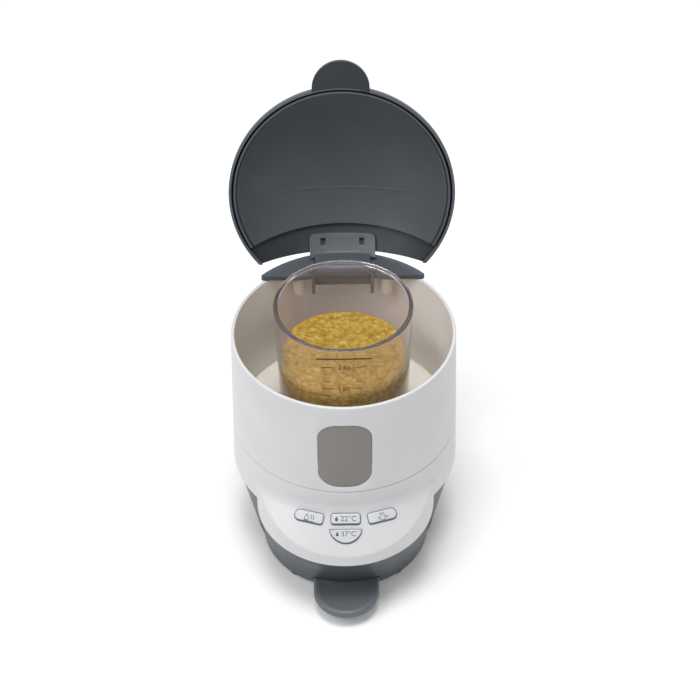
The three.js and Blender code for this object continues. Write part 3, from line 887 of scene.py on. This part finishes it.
def lobe_solid(name, shrink, low, high):
    """The round front of the base, leaning forward as it rises."""
    top = LIP_LOW - FIT
    lower = [low, BASE_LOW + 0.7] if shrink == 0 else [low]
    heights = np.concatenate([lower, np.linspace(BASE_LOW + 1.2, top, 8), [high]])
    rows = [ring(0, LOBE["low_y"], heights[0], SIDES)]
    for i, z in enumerate(heights):
        t = (z - BASE_LOW) / (top - BASE_LOW)
        radius = LOBE["low_r"] + (LOBE["top_r"] - LOBE["low_r"]) * t - shrink
        if i == 0 and shrink == 0:
            radius -= 0.6
        middle = LOBE["low_y"] + (LOBE["top_y"] - LOBE["low_y"]) * t
        rows.append(ring(radius, middle, z, SIDES))
    rows.append(ring(0, middle, heights[-1], SIDES))
    return piece(name, np.concatenate(rows), grid_faces(len(rows), SIDES, True))


def base_housing():
    top = LIP_LOW - FIT
    outer = union(cone_solid("base_body", 0, BASE_LOW, 0), lobe_solid("lobe", 0, BASE_LOW, top))
    inner = union(
        cone_solid("inner", WALL, BASE_LOW - 1, SKIRT_Z + 2),
        lobe_solid("inner_lobe", WALL, BASE_LOW - 1, top + 1),
    )
    slot = block("slot", -HANDLE_R - 0.4, HANDLE_R + 0.4, -95, -30, 0, HANDLE_TOP + 0.6)
    half_w, half_h = INLET["width"] / 2 + FIT, INLET["height"] / 2 + FIT
    opening = block("opening", -half_w, half_w, 40, 70, INLET["z"] - half_h, INLET["z"] + half_h)
    base = cut(outer, inner, slot, opening)
    soften(base, 0.35, 40, 2)
    return finish(base, BASE_SLATE, "warmer", "base_housing", slot="slate_plastic", angle=32)


def foot(name):
    low, high = node_box(name)
    x, y = (low[0] + high[0]) / 2, (low[1] + high[1]) / 2
    radius, top = (high[0] - low[0]) / 2, high[2]
    grooves = [(0, 0.35), (1.6, 0.35), (1.9, 0), (2.7, 0), (3.0, 0.35), (3.5, 0.35), (3.8, 0)]
    rim = [(radius - 0.9, 0), (radius, 0.5), (radius, top), (0, top)]
    profile = rounded(grooves + rim, [0, 0, 0.1, 0.1, 0, 0, 0.1, 0.5, 0.5, 0, 0], steps=3)
    pad = lathe(name + "_pad", profile, 64)
    pad.data.transform(Matrix.Translation((x * MM, y * MM, 0)))
    return finish(pad, RUBBER, "warmer", name, slot="black_rubber", angle=45)


def power_inlet():
    half_w, half_h, z = INLET["width"] / 2, INLET["height"] / 2, INLET["z"]
    outline = rounded_rectangle(2 * half_w, 2 * half_h, 2.2)
    outline[:, 1] += z
    body = prism("power_inlet_socket", outline, -INLET["back"], -INLET["front"], standing)
    well = np.concatenate([arc(3.6, z, half_h - 2.4, -90, 90, 16), arc(-3.6, z, half_h - 2.4, 90, 270, 16)])
    body = cut(body, prism("well", well, -INLET["back"] - 5, -INLET["front"] - 4, standing))
    soften(body, 0.5, 40, 3)
    for i, x in enumerate((-4, 4)):
        section = arc(x, z, 1.2, 0, 360, 32)[:-1]
        pin = prism(f"inlet_pin_{i + 1}", section, -INLET["front"] - 12, -INLET["front"] - 3, standing)
        soften(pin, 0.4, 40, 3)
        finish(pin, STEEL, "warmer", slot="steel")
    return finish(body, BLACK, "warmer", "power_inlet", slot="black_plastic")


base_housing()
for i in range(4):
    foot(f"foot_{i + 1}")
power_inlet()


# ---- chamber floor and heating plate ----
def chamber_floor():
    edge = wall_radius(SEAM_Z) - WALL - FIT
    profile = rounded(
        [(38, 70.8), (edge, 70.8), (edge, FLOOR_Z), (40.9, FLOOR_Z), (40.9, 72.4), (38, 72.4)],
        [0, 0.5, 0.2, 0.5, 0, 0],
        closed=True,
    )
    floor_ring = lathe("chamber_floor_ring", profile)
    # the floor ring takes the chamber's brighter, warmer plastic: painted light
    return finish(floor_ring, CHAMBER_INSIDE_PAINTED_LIGHT, "warmer", "chamber_floor", slot="cream_plastic")


def heating_plate():
    top = node_box("heating_plate")[1][2]
    low = node_box("heating_plate")[0][2]
    radius = node_box("heating_plate")[1][0]
    rings = [(0, top), (12, top), (12.6, top - 0.2), (13.2, top), (26, top), (26.6, top - 0.2), (27.2, top)]
    profile = rounded(
        rings + [(radius, top), (radius, low), (0, low)],
        [0, 0.4, 0.3, 0.4, 0.4, 0.3, 0.4, 0.5, 0.3, 0],
    )
    disc = lathe("heating_plate_disc", profile)
    return finish(disc, PLATE, "warmer", "heating_plate", slot="steel", angle=60)


chamber_floor()
heating_plate()


# ---- drip tray ----
def drip_tray():
    """The pan under the base with its tongue-shaped handle in front."""
    root = HANDLE_TIP + HANDLE_R
    rear = [(HANDLE_R, HANDLE_ROOT), (-HANDLE_R, HANDLE_ROOT)]
    outline = np.concatenate([arc(0, root, HANDLE_R, 180, 360, 56), rear])
    outline = rounded(outline, [0] * 57 + [1.2, 1.2], 4, closed=True)
    centre = np.array([0, root])
    count = len(outline)
    normal = outline_normals(outline)
    low = HANDLE_TOP - 4.2
    edge = [(1.2, low), (0.35, low + 0.35), (0, low + 1.2), (0, HANDLE_TOP - 2.4), (0.25, HANDLE_TOP - 1.4),
            (0.9, HANDLE_TOP - 0.6), (1.9, HANDLE_TOP - 0.12), (2.8, HANDLE_TOP),
            (3.6, HANDLE_TOP - 0.1), (4.6, HANDLE_TOP - 0.35)]
    rings = [np.column_stack([outline - normal * inset, np.full(count, z)]) for inset, z in edge]
    inner = outline - normal * edge[-1][0]
    for k in range(1, 6):
        shrunk = centre + (inner - centre) * (1 - k / 5)
        rings.append(np.column_stack([shrunk, np.full(count, HANDLE_TOP - 0.35 - 0.04 * k)]))
    faces = grid_faces(len(rings), count, True) + [list(range(count))[::-1]]
    handle = piece("drip_tray_handle", np.concatenate(rings), faces)
    finish(handle, TRAY_SLATE, "tray", "drip_tray", slot="slate_plastic", angle=60)
    half = TRAY_W / 2
    pan = cut(
        block("drip_tray_pan", -half, half, HANDLE_ROOT - 0.5, 20, 4.8, HANDLE_TOP),
        block("inside", -half + 1.6, half - 1.6, -61, 18.4, 6.2, 14),
    )
    soften(pan, 0.5, 40, 3)
    finish(pan, TRAY_SLATE, "tray", slot="slate_plastic")


drip_tray()


# ---- hinge collar, posts and pin ----
def hinge_collar():
    low, high = RIM_Z + FIT, RIM_Z + 3.2
    radius, front = COLLAR_EDGE["radius"], COLLAR_EDGE["front"]
    front_disc = [(0, low - 30), (radius, low - 30), (radius, high + 5), (0, high + 5)]
    chord = LID_BACK + 0.7
    tip = math.asin(chord / COLLAR_R)
    tip_x = COLLAR_R * math.cos(tip)
    outer = arc(0, 0, COLLAR_R, math.degrees(tip), 180 - math.degrees(tip), 90)
    left = rounded([outer[-6], (-tip_x, chord), (-30, chord)], [0, 2.2, 0], 8)[1:]
    right = rounded([(30, chord), (tip_x, chord), outer[5]], [0, 2.2, 0], 8)[:-1]
    plan = np.concatenate([outer[5:-5], left, right])
    collar = prism("hinge_collar_plate", plan, low, high)
    collar = cut(
        collar,
        lathe("cutter", front_disc, 360, front - radius),
        block("notch", -EAR["near"], EAR["near"], 30, 54.5, low - 10, high + 5),
    )
    for side in (-1, 1):
        x0 = -EAR["far"] if side < 0 else EAR["near"]
        leg = block("leg", x0, x0 + 1.7, EAR["front"], EAR["back"], EAR["low"], HINGE_Z)
        eye = cross_disc("eye", BARREL_R, x0, x0 + 1.7, (EAR["front"] + EAR["back"]) / 2, HINGE_Z)
        collar = union(collar, union(leg, eye))
    plate = block("plate", -EAR["far"], EAR["far"], 43.6, 45.2, EAR["low"] + 4, 138.6)
    collar = cut(union(collar, plate), cross_disc("bore", 1.7, -30, 30, HINGE_Y, HINGE_Z))
    soften(collar, 0.7, 40, 4)
    return finish(collar, SLATE, "warmer", "hinge_collar", slot="slate_plastic", angle=38)


def collar_post(side, x):
    low, high, r = POST["low"], RIM_Z, POST["r"]
    profile = rounded(
        [(0, low + 0.6), (2.3, low + 0.6), (2.6, low), (r - 0.2, low), (r, high - 3), (r, high), (0, high)],
        [0, 0.2, 0.2, 0.7, 0.6, 0, 0],
    )
    post = lathe(f"collar_post_{side}_boss", profile, 64)
    post.data.transform(Matrix.Translation((x * MM, POST["y"] * MM, 0)))
    finish(post, CREAM, "warmer", f"collar_post_{side}", slot="cream_plastic")
    head_low = node_box(f"post_screw_{side}")[0][2]
    profile = rounded(
        [(0, head_low), (2.2, head_low), (2.2, low - 0.1), (0, low - 0.1)],
        [0, 0.6, 0.1, 0],
    )
    head = lathe(f"post_screw_{side}_head", profile, 48)
    head.data.transform(Matrix.Translation((x * MM, POST["y"] * MM, 0)))
    cross = [
        block("cross", x - w, x + w, POST["y"] - d, POST["y"] + d, head_low - 1, head_low + 0.7)
        for w, d in ((1.4, 0.3), (0.3, 1.4))
    ]
    finish(cut(head, *cross), HEATER, "warmer", f"post_screw_{side}", slot="heater_metal")


def hinge_pin():
    pin = cross_disc("hinge_pin_rod", PIN_R, -18.6, 18.6, HINGE_Y, HINGE_Z)
    soften(pin, 0.4, 40, 3)
    return finish(pin, STEEL, "warmer", "hinge_pin", slot="steel")


hinge_collar()
collar_post("left", -POST["x"])
collar_post("right", POST["x"])
hinge_pin()


# ---- lid ----
DOME_R = (LID_R ** 2 + DOME ** 2) / (2 * DOME)
DOME_CENTRE = LID_SKIRT + DOME - DOME_R


def dome_arc(inset, edge, steps=26):
    radius = DOME_R - inset
    angles = np.linspace(math.asin(edge / radius), 0, steps + 1)
    return [(radius * math.sin(a), DOME_CENTRE + radius * math.cos(a)) for a in angles]


def lid_shell():
    lip = rounded([(LID_R - 1.4, 0), (LID_R, 0), (LID_R, 3)], [0, 0.7, 0], 5)[1:-1].tolist()
    outer = lip + dome_arc(0.05, LID_R - 0.05)
    inner = dome_arc(2.0, LID_R - 1.5)[::-1] + [(LID_R - 1.4, 0)]
    dome = cut(
        lathe("lid_dome", outer + inner, FINE_SIDES, mapping=lid_place),
        block("back", -80, 80, LID_BACK, 90, -1, 50, lid_place),
    )
    outline = np.concatenate([arc(0, 1 - LID_R, TAB_R, 180, 360, 48), [(TAB_R, -50), (-TAB_R, -50)]])
    tongue = cut(
        prism("tongue", outline, 0, 2.4, mapping=lid_place),
        lathe("root", [(0, -1), (LID_R - 1.3, -1), (LID_R - 1.3, 5), (0, 5)], FINE_SIDES, mapping=lid_place),
    )
    shell = union(dome, tongue)
    soften(shell, 0.55, 38, 3)
    apply_modifiers(shell)
    hollow = Vector(lid_place([(0, 0, DOME_CENTRE)])[0])

    # the dome's inner faces get a darker slate: painted shade for the gap behind the liner
    def facing_in(centre, normal):
        from_hollow = Vector(centre * MM + AXIS) - hollow
        reach = from_hollow.length
        return from_hollow.dot(normal) < -0.5 * reach and reach > (DOME_R - 2.6) * MM

    second_material(shell, SLATE, SLATE_PAINTED_SHADE, facing_in)
    return finish(shell, SLATE, "lid", "lid_shell", slot="slate_plastic", angle=34)


def lid_liner():
    """The dish inside the lid: a raised rim, a soft corner and a stepped inner face."""
    rim = rounded([(56.8, 2.6), (56.8, 0), (58, 0), (58, 3)], [0, 0.5, 0.4, 0], 4)
    outer = dome_arc(2.8, 57.6)
    inner = dome_arc(4.5, 56)[::-1]
    dish = cut(
        lathe("lid_dish_liner", rim.tolist() + outer + inner, FINE_SIDES, mapping=lid_place),
        lathe("rear", [(0, -2), (LINER_EDGE["radius"], -2), (LINER_EDGE["radius"], 60), (0, 60)], 420,
              LINER_EDGE["front"] + LINER_EDGE["radius"], mapping=lid_place),
    )
    soften(dish, 0.4, 38, 3)
    return finish(dish, SLATE_INNER, "lid", "lid_liner", slot="slate_plastic", angle=34)


def dome_height(x, y, inset):
    """Height of a dome layer above the lid's edge."""
    return DOME_CENTRE + np.sqrt((DOME_R - inset) ** 2 - x ** 2 - y ** 2)


def dome_ridge(name, line, width, inset, rise):
    """A low rounded ridge along a line of (x, y) inside the dome."""
    line = np.asarray(line, float)
    step = np.gradient(line, axis=0)
    step /= np.linalg.norm(step, axis=1)[:, None]
    side = np.stack([-step[:, 1], step[:, 0]], 1)
    taper = np.sin(np.linspace(0, math.pi, len(line))) ** 0.4
    rows = []
    for t in np.linspace(-1, 1, 9):
        p = line + side * (t * width / 2)
        z = dome_height(p[:, 0], p[:, 1], inset) + 0.05 - rise * taper * math.cos(t * math.pi / 2) ** 2
        rows.append(np.column_stack([p, z]))
    ridge = piece(name, np.concatenate(rows), grid_faces(9, len(line), False), lid_place)
    return finish(ridge, SLATE_INNER, "lid", slot="slate_plastic", angle=70)


def hinge_bracket():
    axis_z = HINGE_Z - LID_Z
    layer = dome_arc(2.3, 57) + dome_arc(3.9, 56)[::-1]
    leaf = lathe("hinge_bracket_leaf", layer, FINE_SIDES, mapping=lid_place)
    outline = rounded([(-18, 31), (18, 31), (18, 42), (-18, 42)], [2.6, 2.6, 0.5, 0.5], 6, closed=True)
    leaf = common(leaf, prism("leaf_area", outline, 5, 45, mapping=lid_place))
    half = EAR["near"] - 0.5
    neck = block("neck", -half, half, LID_BACK + 0.4, LID_BACK + 2.4, axis_z, 17.4, lid_place)
    barrel = cross_disc("barrel", BARREL_R, -half, half, HINGE_Y, axis_z, lid_place)
    bracket = union(leaf, neck, barrel)
    bore = cross_disc("bore", 1.75, -30, 30, HINGE_Y, axis_z, lid_place)
    slots = [block("slot", x - 1.4, x + 1.4, 33.2, 36.6, 5, 45, lid_place) for x in (-10.7, 10.7)]
    bracket = cut(bracket, bore, *slots)
    soften(bracket, 0.4, 38, 3)
    return finish(bracket, BRACKET, "lid", "hinge_bracket", slot="slate_plastic", angle=34)


lid_shell()
lid_liner()
crease_x = np.linspace(-50, 50, 61)
dome_ridge("lid_liner_crease", np.column_stack([crease_x, 6.4 - 1.2 * (crease_x / 45) ** 2]), 3.0, 4.5, 0.25)
hinge_bracket()


# ---- cup and what is in it ----
def cup_outer(z):
    return 34.8 + (z - CUP_LOW) * 0.022


def cup():
    lip = CUP_TOP - 2.4
    outer, inner = cup_outer(CUP_LOW), cup_outer(CUP_LOW) - CUP_WALL
    profile = rounded(
        [(0, CUP_LOW + 1), (outer - 3, CUP_LOW + 1), (outer - 3.6, CUP_LOW), (outer, CUP_LOW),
         (cup_outer(lip), lip), (CUP_LIP_R, lip), (CUP_LIP_R, CUP_TOP),
         (cup_outer(CUP_TOP) - CUP_WALL - 0.2, CUP_TOP), (inner, CUP_LOW + 2.6), (0, CUP_LOW + 2.6)],
        [0, 0.4, 0.4, 1.4, 0.6, 0.9, 1.1, 0.9, 1.8, 0],
        steps=6,
    )
    clear_cup = lathe("cup_clear", profile, SIDES, CUP_Y)
    clear_cup.visible_shadow = False
    return finish(clear_cup, CLEAR, "cup_body", "cup", slot="clear_plastic", angle=60)


def puree():
    """Mash with a lumpy top that climbs a little where it meets the cup."""
    low = CUP_LOW + 2.75
    side = cup_outer(low) - CUP_WALL - 0.12
    edge = cup_outer(PUREE_TOP) - CUP_WALL - 0.12
    wall = rounded(
        [(0, low), (side - 1.7, low), (side, low + 1.8), (edge, PUREE_TOP - 6.5)],
        [0, 1.2, 1.2, 0],
    )
    radii = np.linspace(edge - 0.3, 0, 46)
    profile = np.concatenate([wall, np.column_stack([radii, np.full(46, PUREE_TOP)])])
    food = lathe("puree_mash", profile, 160, CUP_Y)
    random = np.random.default_rng(7)
    waves = [
        (random.normal(size=2) * 0.22 * 1.45 ** k, random.uniform(0, 6.28), 0.34 / 1.28 ** k)
        for k in range(9) for _ in range(4)
    ]
    for vertex in food.data.vertices:
        x, y, z = (np.array(vertex.co) - AXIS) / MM
        if z > PUREE_TOP - 0.2:
            lumps = sum(a * math.sin(w[0] * x + w[1] * (y - CUP_Y) + p) for w, p, a in waves)
            fade = min(1.0, (edge - math.hypot(x, y - CUP_Y)) / 3)
            level = PUREE_TOP - 3.0 - 2.6 * (y - CUP_Y) / edge
            vertex.co.z = (level + 0.55 * lumps * fade + 0.4 * (1 - fade)) * MM
    return finish(food, PUREE, "cup_body", "puree", slot="puree_food", angle=180)


def cup_mark(name, points, faces, z, droop=0.5):
    """Ink on the front of the cup: u runs round it, v up it, and it droops a little to its sides."""
    points = np.asarray(points, float)
    angle = points[:, 0] / cup_outer(z)
    height = points[:, 1] + z - droop * cup_outer(z) * (1 - np.cos(angle))
    radius = cup_outer(height) + 0.05
    spots = np.stack([radius * np.sin(angle), CUP_Y - radius * np.cos(angle), height], 1)
    mark = flat_piece(name, spots, faces)
    return finish(mark, CUP_INK, "cup_body", slot="clear_plastic")


def level_lines(width, height, count, *spans):
    """Level strokes round the cup, each from one place to another."""
    return [
        ribbon(np.column_stack([np.linspace(a, b, count), np.full(count, height)]), width)
        for a, b in spans
    ]


def graduations():
    """Volume lines every 20 ml, numbered every 60 ml up to 240."""
    per_60 = 15.4
    top = 144.0
    for i, number in enumerate((240, 180, 120, 60)):
        z = top - i * per_60
        points, faces = lettering(str(number), 4.4)
        cup_mark(f"cup_number_{number}", points, faces, z)
        lines = level_lines(0.42, 0.0, 9, (-12, -5.4), (5.4, 12))
        if number > 60:
            for k in (1, 2):
                lines += level_lines(0.34, -k * per_60 / 3, 7, (-11.5, -6.5), (6.5, 11.5))
        cup_mark(f"cup_lines_{number}", *merge(lines), z)
    bar = level_lines(0.9, 0.0, 25, (-15, 15))[0]
    cup_mark("cup_fill_line", *bar, top + 6.4, 0.85)


cup()
puree()
graduations()


# ---- CAD nodes that keep their shape ----
KEPT = {
    "bottom_cover": BASE_SLATE, "control_board": BOARD, "power_board": BOARD, "relay": BLACK,
    "capacitor": SLEEVE, "plate_seal": SILICONE, "heater_ring": HEATER, "thermostat": BLACK,
    "thermal_fuse": CREAM, "water_sensor": STEEL,
}
KEPT.update({f"cover_screw_{i + 1}": STEEL for i in range(4)})
KEPT.update({f"key_switch_{i + 1}": BLACK for i in range(4)})
for node_name, node_material in KEPT.items():
    node = frame["nodes"][node_name]
    node.data.materials.clear()
    node.data.materials.append(node_material)
    soften(node, 0.25, 40, 2)


# ---- floor, light and camera ----
def floor():
    points = [(-4000, -4000, 0), (4000, -4000, 0), (4000, 4000, 0), (-4000, 4000, 0)]
    ground = flat_piece("floor", points, [(0, 1, 2, 3)])
    n = Nodes("floor_paper")
    tint = n.ramp(n.noise(3), (0.3, (0.93, 0.93, 0.93, 1)), (0.7, (0.95, 0.95, 0.95, 1)))
    n.link(tint, n.shader.inputs["Base Color"])
    n.set(Roughness=0.95, IOR=1.3, Emission_Color=(1, 1, 1, 1), Emission_Strength=0.08)
    ground.data.materials.append(n.material)


def area_light(name, position, aim, size, power, colour=(1, 1, 1)):
    data = bpy.data.lights.new(name, "AREA")
    data.shape = "DISK"
    data.size = size
    data.energy = power
    data.color = colour
    lamp = bpy.data.objects.new(name, data)
    put_in_scene(lamp)
    lamp.location = Vector(position) + Vector(AXIS)
    direction = Vector(aim) - Vector(position)
    lamp.rotation_euler = direction.to_track_quat("-Z", "Y").to_euler()


def camera():
    pitch, yaw, roll = math.radians(42.69), math.radians(0.18), math.radians(-0.67)
    forward = Vector((0, math.cos(pitch), -math.sin(pitch)))
    up = Vector((0, math.sin(pitch), math.cos(pitch)))
    right = Vector((1, 0, 0))
    aim = forward * math.cos(yaw) + right * math.sin(yaw)
    level = right * math.cos(yaw) - forward * math.sin(yaw)
    side = level * math.cos(roll) + up * math.sin(roll)
    top = up * math.cos(roll) - level * math.sin(roll)
    data = bpy.data.cameras.new("camera")
    data.lens = 102.857
    data.sensor_width = 36
    eye = bpy.data.objects.new("camera", data)
    put_in_scene(eye)
    matrix = Matrix((side, top, -aim)).transposed().to_4x4()
    matrix.translation = Vector((0, -0.789, 0.8514)) + Vector(AXIS)
    eye.matrix_world = matrix
    bpy.context.scene.camera = eye


floor()
area_light("key", (-0.9, -0.5, 1.2), (0, 0, 0.1), 0.9, 7)
area_light("fill", (0.9, -0.7, 0.7), (0, 0, 0.1), 0.9, 0.4)
area_light("top", (0, -0.2, 1.4), (0, 0, 0.1), 0.5, 9)
area_light("back", (0.1, 0.8, 1.2), (0, 0, 0.15), 0.8, 4)
world = bpy.data.worlds.new("studio")
world.use_nodes = True
world.node_tree.nodes["Background"].inputs["Color"].default_value = (1, 1, 1, 1)
world.node_tree.nodes["Background"].inputs["Strength"].default_value = 0.42
bpy.context.scene.world = world
bpy.context.scene.view_settings.view_transform = "Standard"
camera()
